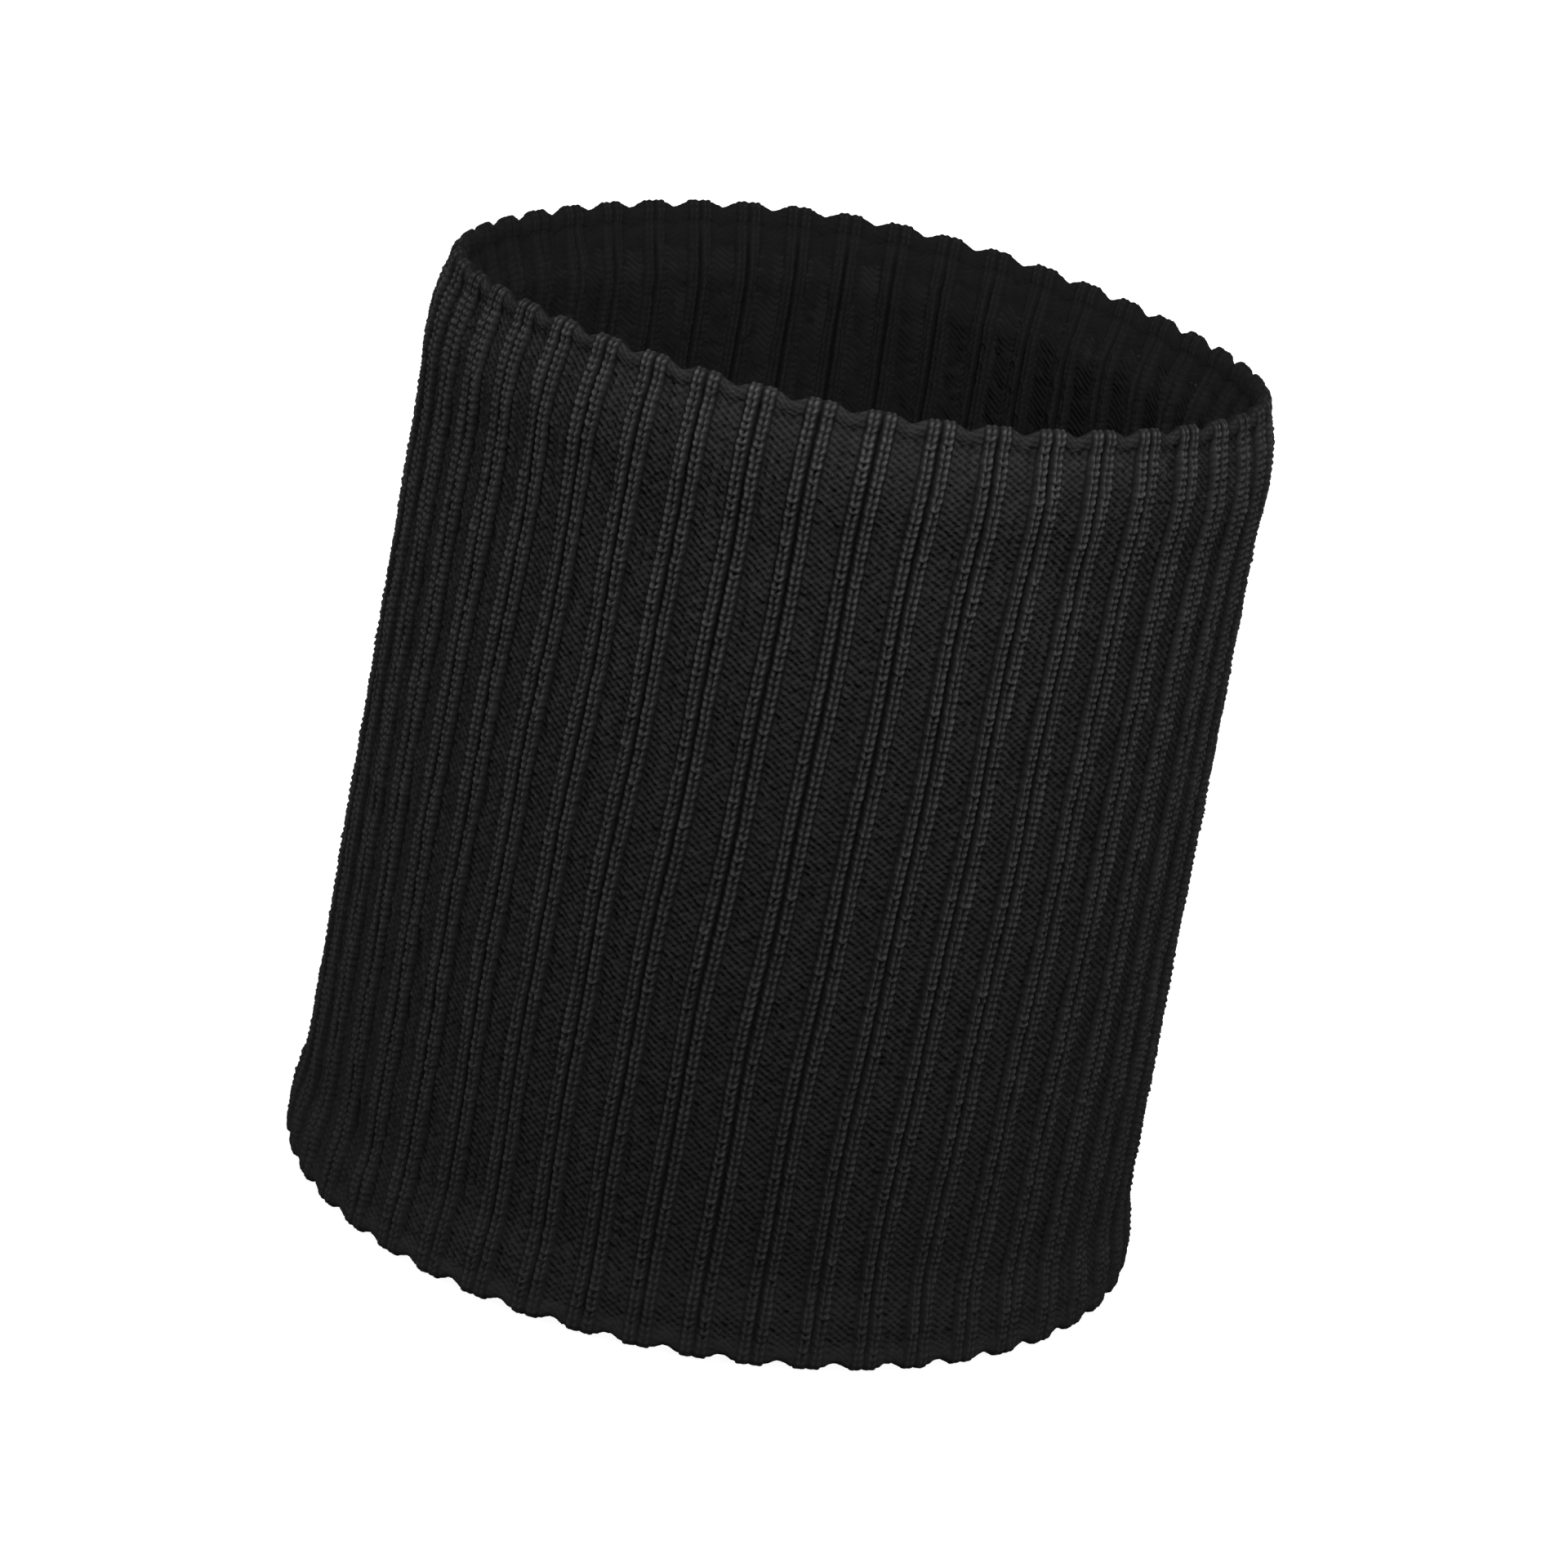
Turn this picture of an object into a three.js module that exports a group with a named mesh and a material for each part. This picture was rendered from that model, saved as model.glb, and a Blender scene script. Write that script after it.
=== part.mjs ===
// Knitted sweat wristband.
// One rib-knit tube is turned in on itself to make two layers, with elastic threads laid in between them,
// and its two ends meet in a linked closing seam on the inside.
// Millimetres, +Z up along the wrist, origin at the middle of the bottom rim.
import * as THREE from "three";

// ---- Driving dimensions ----
const BAND_HEIGHT = 63; // rim to rim
const BOTTOM_RADIUS = 28.9; // rib crests at the bottom of the straight wall
const TOP_RADIUS = 27.9; // rib crests at the top of the straight wall
const FLARE = 0.6; // how far the outer wall flares out just above the bottom rim
const FLARE_HEIGHT = 4.6; // height over which the flare fades
const BEAD = 0.22; // low swelling of the outer wall just under the top rim
const BEAD_BELOW_RIM = 5.9;
const BEAD_HALF_WIDTH = 1.6;
const CURL = 1.15; // how far the outer wall curls in to the top rim
const CURL_HEIGHT = 4.4; // height over which it curls
const RIB_COUNT = 46; // raised ribs round the band
const RIB_RELIEF = 0.55; // how far the purl panels lie below the rib crests
const OUTER_LAYER = 1.3; // thickness of the outer layer at a rib
const LAYER_GAP = 1.0; // room between the layers, where the elastic lies
const INNER_LAYER = 1.0; // thickness of the inner layer
const RIM_ROUND = 1.35; // height of the rounded shoulder at each rim
const RIM_LAND = 0.9; // width of the flat crown of each rim
const TURN_IN = 6; // height inside the band at which the closing seam runs
const FIT_GAP = 0.3; // clearance between pieces that touch
const SEAM_RADIUS = 0.5; // half the thickness of the closing seam
const SEAM_CLEARANCE = 0.3; // between the closing seam and the face it runs round
const ELASTIC_COUNT = 12;
const ELASTIC_RADIUS = 0.2;
const ELASTIC_MARGIN = 4; // from each rim to the nearest elastic thread

// ---- Facets ----
const SEGMENTS_PER_RIB = 4;
const RIBBED_SEGMENTS = RIB_COUNT * SEGMENTS_PER_RIB;
const PLAIN_SEGMENTS = RIB_COUNT * 2;
const SHOULDER_STEPS = 2;
const SEAM_SEGMENTS = 48;
const SEAM_SIDES = 6;
const ELASTIC_SEGMENTS = 32;
const ELASTIC_SIDES = 4;

// ---- Derived dimensions ----
const WALL = OUTER_LAYER + LAYER_GAP + INNER_LAYER;
const CROWN_START = 1.4; // depth at which the flat crown of each rim begins
const CROWN_END = CROWN_START + RIM_LAND;
// Heights at which the outer wall changes slope, from the bottom up.
const WALL_HEIGHTS = [
  RIM_ROUND,
  3.2,
  FLARE_HEIGHT + 1,
  9,
  BAND_HEIGHT - 9,
  BAND_HEIGHT - BEAD_BELOW_RIM,
  BAND_HEIGHT - CURL_HEIGHT,
  BAND_HEIGHT - CURL_HEIGHT / 2,
  BAND_HEIGHT - RIM_ROUND,
];

// ---- Materials ----
const faceKnit = new THREE.MeshStandardMaterial({ color: 0x1d1d1f, roughness: 0.92, metalness: 0 });
const liningKnit = new THREE.MeshStandardMaterial({ color: 0x151516, roughness: 0.95, metalness: 0 });
const seamThread = new THREE.MeshStandardMaterial({ color: 0x202022, roughness: 0.8, metalness: 0 });
const coveredElastic = new THREE.MeshStandardMaterial({ color: 0x2a2a2c, roughness: 0.6, metalness: 0 });

// Radius of the straight wall through the rib crests at a height. Depths are measured inwards from it.
function straightRadius(z) {
  return THREE.MathUtils.lerp(BOTTOM_RADIUS, TOP_RADIUS, z / BAND_HEIGHT);
}

// Depth of the outer wall's rib crests at a height: it flares above the bottom rim, swells a little under the
// top rim and then curls in.
function crestDepth(z) {
  const flare = FLARE * Math.exp(-((z / FLARE_HEIGHT) ** 4));
  const bead = BEAD * Math.exp(-(((z - BAND_HEIGHT + BEAD_BELOW_RIM) / BEAD_HALF_WIDTH) ** 2));
  const curl = CURL * Math.max(0, (z - BAND_HEIGHT + CURL_HEIGHT) / CURL_HEIGHT) ** 2;
  return curl - bead - flare;
}

// A profile point. Its ribbing says how much of the rib relief it carries, from 0 on a rim's flat crown to 1 on
// the wall.
function point(depth, z, ribbing = 0) {
  return { depth, z, ribbing };
}

// The points between the ends of a quarter turn, from a wall at one depth to a rim's flat crown at another. The
// wall ends at wallZ and the crown lies at crownZ.
function shoulder(wallDepth, crownDepth, wallZ, crownZ, ribbed) {
  const points = [];
  for (let i = 1; i < SHOULDER_STEPS; i++) {
    const turn = ((Math.PI / 2) * i) / SHOULDER_STEPS;
    const depth = crownDepth + (wallDepth - crownDepth) * Math.cos(turn);
    const z = wallZ + (crownZ - wallZ) * Math.sin(turn);
    points.push(point(depth, z, ribbed ? Math.cos(turn) : 0));
  }
  return points;
}

// A ring made by turning a closed profile round Z. The panels between the ribs are sunk by RIB_RELIEF times each
// point's ribbing: with four facets to a rib, two vertices are crests and two are panels.
function turned(profile, segments, name, material) {
  const loop = [...profile, profile[0]];
  const outline = loop.map((p) => new THREE.Vector2(straightRadius(p.z) - p.depth, p.z));
  const halfFacet = Math.PI / segments;
  const geometry = new THREE.LatheGeometry(outline, segments, halfFacet);
  const position = geometry.attributes.position;
  for (let i = 0; i < position.count; i++) {
    const { ribbing } = loop[i % loop.length];
    const facet = Math.floor(i / loop.length) % SEGMENTS_PER_RIB;
    const isPanel = facet === 1 || facet === 2;
    if (!ribbing || !isPanel) continue;
    const radius = Math.hypot(position.getX(i), position.getZ(i));
    const sunk = (radius - RIB_RELIEF * ribbing) / radius;
    position.setX(i, position.getX(i) * sunk);
    position.setZ(i, position.getZ(i) * sunk);
  }
  geometry.rotateX(Math.PI / 2);
  return named(geometry, name, material);
}

function named(geometry, name, material) {
  const mesh = new THREE.Mesh(geometry, material);
  mesh.name = name;
  return mesh;
}

// A round ring about Z at a height and depth. Its facets cut inside the true circle, so the corners are set out
// by half of what they cut.
function ring(z, depth, sectionRadius, sides, segments, name, material) {
  const radius = straightRadius(z) - depth;
  const facetCut = radius * (1 - Math.cos(Math.PI / segments));
  const geometry = new THREE.TorusGeometry(radius + facetCut / 2, sectionRadius, sides, segments);
  const mesh = named(geometry, name, material);
  mesh.position.z = z;
  return mesh;
}

// The outer layer: the ribbed wall, turned over at both rims. At the top it stops where the inner layer
// starts, and at the bottom it runs on up the inside as far as the closing seam.
function outerLayer() {
  const turnedBack = WALL - INNER_LAYER;
  const topTip = BAND_HEIGHT - RIM_ROUND;
  const bottomTip = TURN_IN - FIT_GAP / 2;
  const cavityFloor = OUTER_LAYER;
  const bottomEdge = crestDepth(RIM_ROUND);
  const topEdge = crestDepth(topTip);
  return turned(
    [
      ...WALL_HEIGHTS.map((z) => point(crestDepth(z), z, 1)),
      ...shoulder(topEdge, CROWN_START, topTip, BAND_HEIGHT, true),
      point(CROWN_START, BAND_HEIGHT),
      point(CROWN_END, BAND_HEIGHT),
      ...shoulder(WALL, CROWN_END, topTip, BAND_HEIGHT, false).reverse(),
      point(WALL, topTip),
      point(CROWN_START, topTip),
      point(OUTER_LAYER, BAND_HEIGHT - CURL_HEIGHT),
      point(OUTER_LAYER, cavityFloor),
      point(turnedBack, cavityFloor),
      point(turnedBack, bottomTip),
      point(WALL, bottomTip),
      point(WALL, RIM_ROUND),
      ...shoulder(WALL, CROWN_END, RIM_ROUND, 0, false),
      point(CROWN_END, 0),
      point(CROWN_START, 0),
      ...shoulder(bottomEdge, CROWN_START, RIM_ROUND, 0, true).reverse(),
    ],
    RIBBED_SEGMENTS,
    "outer_layer",
    faceKnit,
  );
}

// The inner layer: a plain wall from the closing seam up to the fold at the top rim.
function innerLayer() {
  const bottom = TURN_IN + FIT_GAP / 2;
  const top = BAND_HEIGHT - RIM_ROUND - FIT_GAP;
  return turned(
    [
      point(WALL - INNER_LAYER, bottom),
      point(WALL - INNER_LAYER, top),
      point(WALL, top),
      point(WALL, bottom),
    ],
    PLAIN_SEGMENTS,
    "inner_layer",
    liningKnit,
  );
}

// The linked seam that closes the tube: a ring of thread on the inner face, over the joint between the layers.
function closingSeam() {
  const depth = WALL + SEAM_CLEARANCE + SEAM_RADIUS;
  return ring(TURN_IN, depth, SEAM_RADIUS, SEAM_SIDES, SEAM_SEGMENTS, "closing_seam", seamThread);
}

// Covered elastic threads laid round the band between the two layers.
function elasticThreads() {
  const depth = OUTER_LAYER + LAYER_GAP / 2;
  const spacing = (BAND_HEIGHT - 2 * ELASTIC_MARGIN) / (ELASTIC_COUNT - 1);
  return Array.from({ length: ELASTIC_COUNT }, (_, i) => {
    const name = `elastic_thread_${String(i + 1).padStart(2, "0")}`;
    const z = ELASTIC_MARGIN + i * spacing;
    return ring(z, depth, ELASTIC_RADIUS, ELASTIC_SIDES, ELASTIC_SEGMENTS, name, coveredElastic);
  });
}

const wristband = new THREE.Group();
wristband.add(outerLayer(), innerLayer(), closingSeam(), ...elasticThreads());

export default wristband;
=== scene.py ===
"""Looks of a knitted sweat wristband.

The band is one tube of two-by-three rib knit, turned in on itself to two layers and closed with a
chain-stitched seam on the inside. Its stitches are modelled one by one: a rib repeat is shaped as a small
tile, the tile is repeated into a flat piece of fabric, and the fabric is laid round the band, over both rims
and down the inside. Everything is in metres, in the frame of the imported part.
"""

import logging
import math
from dataclasses import dataclass, field
from enum import Enum

import bmesh
import bpy
import numpy as np
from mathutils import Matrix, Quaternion, Vector


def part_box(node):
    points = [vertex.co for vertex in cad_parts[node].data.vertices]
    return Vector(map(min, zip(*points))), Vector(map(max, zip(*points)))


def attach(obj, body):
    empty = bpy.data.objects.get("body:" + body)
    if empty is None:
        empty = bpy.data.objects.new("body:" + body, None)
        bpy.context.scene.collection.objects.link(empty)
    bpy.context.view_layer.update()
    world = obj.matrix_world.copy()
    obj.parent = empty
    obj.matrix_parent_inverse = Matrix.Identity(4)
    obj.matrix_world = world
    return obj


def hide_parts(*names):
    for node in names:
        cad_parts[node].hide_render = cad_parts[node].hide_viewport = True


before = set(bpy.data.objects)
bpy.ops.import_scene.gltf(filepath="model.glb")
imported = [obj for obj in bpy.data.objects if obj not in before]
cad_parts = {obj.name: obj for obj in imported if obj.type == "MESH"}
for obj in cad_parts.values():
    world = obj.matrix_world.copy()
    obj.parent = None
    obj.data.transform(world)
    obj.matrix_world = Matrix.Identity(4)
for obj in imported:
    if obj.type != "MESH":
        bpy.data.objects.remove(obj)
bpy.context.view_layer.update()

logging.basicConfig(level=logging.INFO, format="%(message)s")
log = logging.getLogger("wristband")

MM = 0.001
FULL_TURN = 2 * math.pi
HAIR = 0.01 * MM
ELASTIC_THREAD = "elastic_thread"
SCATTER_RATES = (12.9898, 78.233)
SCATTER_GAIN = 43758.5453
SCATTER_STARTS = 97


class Layer(Enum):
    """The two layers of the folded band, by the CAD node that each stands for."""

    FACE = "outer_layer"
    LINING = "inner_layer"


class Zone(Enum):
    """What an upright line of the stitch relief runs along."""

    VALLEY = "valley between the two knit wales of a rib"
    EDGE = "inner edge of a knit wale"
    FLANK = "outer side of a stitch leg"
    LEG = "top of a stitch leg"
    EYE = "hole between the legs of a stitch"
    GROOVE = "foot of a rib, where the purl panel starts"
    PANEL = "purl panel"


def eased(share: np.ndarray) -> np.ndarray:
    """A share clipped to 0 to 1, with a soft start and end."""
    share = np.clip(share, 0, 1)
    return share * share * (3 - 2 * share)


def grey(tone: float) -> tuple[float, float, float, float]:
    """A neutral, opaque colour."""
    return tone, tone, tone, 1.0


def scattered(first: np.ndarray, second: np.ndarray, start: int) -> np.ndarray:
    """Numbers without any visible order, which are the same in every run.

    Args:
        first: A whole number for each point.
        second: Another whole number for each point.
        start: Shifts the scatter as a whole.

    Returns:
        A number from -1 to 1 for each point.
    """
    scatter = np.sin(first * SCATTER_RATES[0] + second * SCATTER_RATES[1] + start) * SCATTER_GAIN
    return 2 * (scatter - np.floor(scatter)) - 1


def points_of(mesh: bpy.types.Mesh) -> np.ndarray:
    """The points of a mesh, as XYZ rows."""
    flat = np.empty(len(mesh.vertices) * 3, np.float32)
    mesh.vertices.foreach_get("co", flat)
    return flat.reshape(-1, 3).astype(float)


def whole_numbers_of(mesh: bpy.types.Mesh, label: str) -> np.ndarray:
    """The values of a whole-number attribute of a mesh, point by point."""
    values = np.empty(len(mesh.vertices), np.int32)
    mesh.attributes[label].data.foreach_get("value", values)
    return values


def write_painted_light(mesh: bpy.types.Mesh, reach: np.ndarray) -> None:
    """Writes on a mesh the painted light and shade of each point: painted shade in gaps, painted highlights
    on crests.
    """
    shown = mesh.attributes.new("reach", "FLOAT", "POINT")
    shown.data.foreach_set("value", reach.astype(np.float32))


# ---- The band's shape ----


@dataclass(frozen=True)
class BandShape:
    """The folded band's wall through its rib crests, as a surface of revolution round Z."""

    height: float
    wall_slope: float
    thread_radius: float
    thread_height: float
    thread_depth: float = 1.8 * MM
    wall: float = 3.3 * MM
    flare: float = 0.6 * MM
    flare_height: float = 4.6 * MM
    bead: float = 0.19 * MM
    bead_below_rim: float = 5.9 * MM
    bead_half_width: float = 2.1 * MM
    curl: float = 1.15 * MM
    curl_height: float = 4.4 * MM
    rim_round: float = 1.35 * MM
    top_fold: float = 1.3 * MM
    lining_spread: float = 4.5 * MM
    tuck: float = 0.3 * MM
    tuck_depth: float = 0.08 * MM
    bottom_fullness: float = 5.0
    ribs: int = 46

    @classmethod
    def from_frame(cls) -> "BandShape":
        """Reads the band's height and taper from the CAD boxes.

        The elastic threads all lie at the same depth in the wall, so the first and last give its taper.

        Returns:
            The shape of the band's wall.
        """
        low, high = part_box(Layer.FACE.value)
        threads = sorted(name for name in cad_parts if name.startswith(ELASTIC_THREAD))
        first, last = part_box(threads[0]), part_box(threads[-1])
        rise = last[1].z - first[1].z
        half_thread = (first[1].z - first[0].z) / 2
        return cls(
            height=high.z - low.z,
            wall_slope=(last[1].x - first[1].x) / rise,
            thread_radius=first[1].x - half_thread,
            thread_height=first[1].z - half_thread,
        )

    def straight_radius(self, z: np.ndarray) -> np.ndarray:
        """Radius of the straight wall at height z, from which depths are measured inwards."""
        return self.thread_radius + self.thread_depth + (z - self.thread_height) * self.wall_slope

    def crest_depth(self, z: np.ndarray) -> np.ndarray:
        """How deep the outer rib crests lie: the wall flares low down, swells near the top and curls in.

        Args:
            z: Height of each point.

        Returns:
            The depth of each point, inwards from the straight wall.
        """
        flare = self.flare * np.exp(-((z / self.flare_height) ** 4))
        bead = self.bead * np.exp(-(((z - self.height + self.bead_below_rim) / self.bead_half_width) ** 2))
        curl = self.curl * np.maximum(0, (z - self.height + self.curl_height) / self.curl_height) ** 2
        return curl - bead - flare


@dataclass(frozen=True)
class RibWander:
    """How the ribs stray from even, upright lines round the band.

    Angles are in radians. A wave's rates say how fast it runs over the band's height and round the band.
    """

    front_rib: int = 7
    front_angle: float = math.radians(2.7)
    crowding: float = 0.034
    level_height: float = 28 * MM
    lean: float = math.radians(2.8)
    fan: float = math.radians(2.85)
    bow: float = math.radians(2.1)
    long_wave: float = math.radians(0.26)
    long_rates: tuple[float, float] = (9.3, 2)
    short_wave: float = math.radians(0.12)
    short_rates: tuple[float, float] = (23, 9)
    short_start: float = 1.0

    def angle(self, rib: np.ndarray, z: np.ndarray, shape: BandShape) -> np.ndarray:
        """Angle round the band, from the front towards +X.

        Args:
            rib: Place across the fabric, counted in ribs.
            z: Height of each point.
            shape: The band's wall.

        Returns:
            The angle of each point.
        """
        even = (rib - self.front_rib) * FULL_TURN / shape.ribs
        rise = (z - self.level_height) / shape.height
        leaning = rise * (self.lean + self.fan * np.sin(even)) + self.bow * rise**2
        long_phase = self.long_rates[0] * rise + self.long_rates[1] * even
        short_phase = self.short_rates[0] * rise + self.short_rates[1] * even + self.short_start
        wave = self.long_wave * np.sin(long_phase) + self.short_wave * np.sin(short_phase)
        return even + self.front_angle - self.crowding * np.sin(even) + leaning + wave


@dataclass(frozen=True)
class RimSag:
    """How the top rim strays from level: the cosine and sine parts of its height round the band."""

    level: float = -0.15 * MM
    waves: tuple[tuple[float, float], ...] = (
        (0.17 * MM, -0.27 * MM),
        (0.29 * MM, 0.01 * MM),
        (-0.36 * MM, -0.08 * MM),
    )
    starts: float = 44 * MM

    def lift(self, angle: np.ndarray, z: np.ndarray, shape: BandShape) -> np.ndarray:
        """How far points near the rim are lifted.

        Args:
            angle: Angle of each point round the band.
            z: Height of each point.
            shape: The band's wall.

        Returns:
            The lift of each point.
        """
        lift = np.full(angle.shape, self.level)
        for turns, (cosine, sine) in enumerate(self.waves, 1):
            lift += cosine * np.cos(turns * angle) + sine * np.sin(turns * angle)
        return lift * eased((z - self.starts) / (shape.height - self.starts))


@dataclass
class FoldPath:
    """The way the fabric runs up the band: along the crests, from one end of a profile to the other."""

    radius: np.ndarray
    z: np.ndarray
    along: np.ndarray = field(init=False)
    normal: np.ndarray = field(init=False)

    def __post_init__(self) -> None:
        """Measures the path and works out its outward normals."""
        step = np.hypot(np.diff(self.radius), np.diff(self.z))
        self.along = np.concatenate([[0.0], np.cumsum(step)])
        tangent = np.stack([np.gradient(self.radius, self.along), np.gradient(self.z, self.along)], 1)
        tangent /= np.linalg.norm(tangent, axis=1)[:, None]
        self.normal = np.stack([tangent[:, 1], -tangent[:, 0]], 1)

    @property
    def length(self) -> float:
        """Length of the path."""
        return float(self.along[-1])

    def at(self, along: np.ndarray, height: np.ndarray) -> tuple[np.ndarray, np.ndarray]:
        """Radius and z of points that stand off the path.

        Args:
            along: Distance of each point along the path.
            height: How far each point stands out from the crest line.

        Returns:
            The radius and the z of each point.
        """
        out_r = np.interp(along, self.along, self.normal[:, 0])
        out_z = np.interp(along, self.along, self.normal[:, 1])
        size = np.hypot(out_r, out_z)
        radius = np.interp(along, self.along, self.radius) + height * out_r / size
        return radius, np.interp(along, self.along, self.z) + height * out_z / size

    @classmethod
    def face(cls, shape: BandShape, rim_steps: int = 48, wall_steps: int = 300) -> "FoldPath":
        """The face's path: out round the bottom rim, up the outer wall and in over the top rim.

        Args:
            shape: The band's wall.
            rim_steps: Points round each rim.
            wall_steps: Points up the wall, with its two ends.

        Returns:
            The path.
        """
        low, high = shape.rim_round, shape.height - shape.rim_round
        turn = np.linspace(0, math.pi, rim_steps)
        outer, inner = shape.crest_depth(np.array([low, high])), shape.wall
        full = 2 / shape.bottom_fullness
        across = np.sign(np.cos(turn)) * np.abs(np.cos(turn)) ** full
        bottom_depth = (inner + outer[0]) / 2 + (inner - outer[0]) / 2 * across
        bottom_z = low - shape.rim_round * np.sin(turn).clip(0) ** full
        wall_z = np.linspace(low, high, wall_steps)[1:-1]
        top_depth = outer[1] + shape.top_fold / 2 * (1 - np.cos(turn))
        top_z = high + shape.rim_round * np.sin(turn)
        depth = np.concatenate([bottom_depth, shape.crest_depth(wall_z), top_depth])
        z = np.concatenate([bottom_z, wall_z, top_z])
        return cls(shape.straight_radius(z) - depth, z)

    @classmethod
    def lining(cls, shape: BandShape, steps: int = 120) -> "FoldPath":
        """The lining's path, down the inside. Both its ends are tucked behind the edges of the face.

        Args:
            shape: The band's wall.
            steps: Points down the path.

        Returns:
            The path.
        """
        top = shape.height - shape.rim_round
        z = np.linspace(top + shape.tuck, shape.rim_round - shape.tuck, steps)
        start = float(shape.crest_depth(np.array([top]))[0]) + shape.top_fold
        spread = np.sin(np.clip((top - z) / shape.lining_spread, 0, 1) * math.pi / 2)
        depth = start + (shape.wall - start) * spread - shape.tuck_depth
        return cls(shape.straight_radius(z) - depth, z)


# ---- The knit ----


@dataclass(frozen=True)
class StitchLine:
    """One upright line of the relief across a rib repeat.

    Lines on the same strand of yarn share its unevenness. The side says which leg of a stitch the line is on.
    The wale says how far the line lies from the middle of a purl panel, in wales.
    """

    across: float
    zone: Zone
    strand: int
    side: int = 0
    wale: float = 0.0


@dataclass(frozen=True)
class RibKnit:
    """The relief of a two-by-three rib: two knit wales that stand up, then three purl wales that lie low.

    A reach is painted light and shade: low values are painted shade in valleys, grooves and holes, and
    values past 1 a painted highlight on leg crests. Where it changes up a course, it is given as its start
    and the change.
    """

    course: float = 0.463 * MM
    valley_share: float = 0.064
    wale_share: float = 0.210
    purl_wales: int = 3
    lines_per_purl: int = 4
    rows: int = 4
    wale_lines: tuple[tuple[float, Zone], ...] = (
        (0.0, Zone.EDGE),
        (0.10, Zone.FLANK),
        (0.25, Zone.LEG),
        (0.50, Zone.EYE),
        (0.75, Zone.LEG),
        (0.90, Zone.FLANK),
        (1.0, Zone.GROOVE),
    )
    edge_depth: float = 0.27 * MM
    valley_depth: float = 0.44 * MM
    groove_depth: float = 0.56 * MM
    panel_depth: float = 0.49 * MM
    flank_depth: float = 0.10 * MM
    leg_dip: float = 0.12 * MM
    eye_depth: float = 0.16 * MM
    eye_dip: float = 0.12 * MM
    purl_bump: float = 0.125 * MM
    falling_rows: float = 0.74
    leg_slant: float = 0.05
    leg_crest: float = 0.4
    # Painted light and shade of each zone: low values paint shade into valleys, grooves and holes, and legs
    # rise past 1 as a painted highlight.
    valley_painted_light: float = 0.05
    edge_painted_light: float = 0.22
    groove_painted_light: float = 0.12
    flank_painted_light: tuple[float, float] = (0.26, 0.36)
    leg_painted_light: tuple[float, float] = (0.40, 1.12)
    eye_painted_light: tuple[float, float] = (0.26, -0.22)
    panel_painted_light: tuple[float, float] = (0.37, 0.26)

    def lines(self) -> list[StitchLine]:
        """The relief's upright lines from the middle of one rib to the middle of the next.

        Returns:
            The lines, in order. The first and last are the same line of two neighbouring ribs.
        """
        near, far = self.valley_share / 2, self.valley_share / 2 + self.wale_share
        found = [StitchLine(0.0, Zone.VALLEY, 0)]
        for place, zone in self.wale_lines:
            side = 1 if place > 0.5 else -1
            found.append(StitchLine(near + place * self.wale_share, zone, 1 if side < 0 else 2, side))
        count = self.purl_wales * self.lines_per_purl
        for i in range(1, count):
            wale = i / self.lines_per_purl - self.purl_wales / 2
            strand = 3 + (i - 1) // 2
            found.append(StitchLine(far + (1 - 2 * far) * i / count, Zone.PANEL, strand, 0, wale))
        last = 3 + count // 2
        for line in reversed(found[1 : 1 + len(self.wale_lines)]):
            strand = last + 1 if line.strand == 1 else last
            found.append(StitchLine(1 - line.across, line.zone, strand, -line.side))
        found.append(StitchLine(1.0, Zone.VALLEY, 0))
        return found

    def height(self, line: StitchLine, phase: float) -> float:
        """How far a point of the relief stands above the crests, which is mostly a negative number.

        Args:
            line: The upright line that the point is on.
            phase: How far up its course the point is, from 0 to 1.

        Returns:
            The height of the point.
        """
        dip = self.leg_dip * (1 - self._swing(phase)) / 2
        return {
            Zone.VALLEY: -self.valley_depth,
            Zone.EDGE: -self.edge_depth,
            Zone.FLANK: -self.flank_depth - dip,
            Zone.LEG: -dip,
            Zone.EYE: -self.eye_depth - 2 * self.eye_dip * self._openness(phase),
            Zone.GROOVE: -self.groove_depth,
            Zone.PANEL: -self.panel_depth + self.purl_bump * self.purl(line, phase),
        }[line.zone]

    def _swing(self, phase: float) -> float:
        """How far a stitch leg stands out at a phase, from -1 to 1."""
        return math.cos(FULL_TURN * (phase - self.leg_crest))

    @staticmethod
    def _openness(phase: float) -> float:
        """How open the hole between a stitch's legs is at a phase, from 0 to 1."""
        return (1 - math.cos(FULL_TURN * phase)) / 2

    def purl(self, line: StitchLine, phase: float) -> float:
        """How far the loops of a purl panel stand out: in slanting rows, crossed by weaker ones.

        Args:
            line: The upright line that the point is on.
            phase: How far up its course the point is, from 0 to 1.

        Returns:
            The share of the purl bump, from -1 to 1.
        """
        falling = math.cos(FULL_TURN * (phase + line.wale))
        rising = math.cos(FULL_TURN * (phase - line.wale))
        return self.falling_rows * falling + (1 - self.falling_rows) * rising

    def slant(self, line: StitchLine, phase: float) -> float:
        """How far a leg leans sideways, since legs spread towards the next course.

        Args:
            line: The upright line that the point is on.
            phase: How far up its course the point is, from 0 to 1.

        Returns:
            The lean, as a share of the rib repeat.
        """
        if line.zone not in (Zone.LEG, Zone.FLANK):
            return 0.0
        return line.side * (phase - 0.5) * self.leg_slant * self.wale_share

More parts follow.
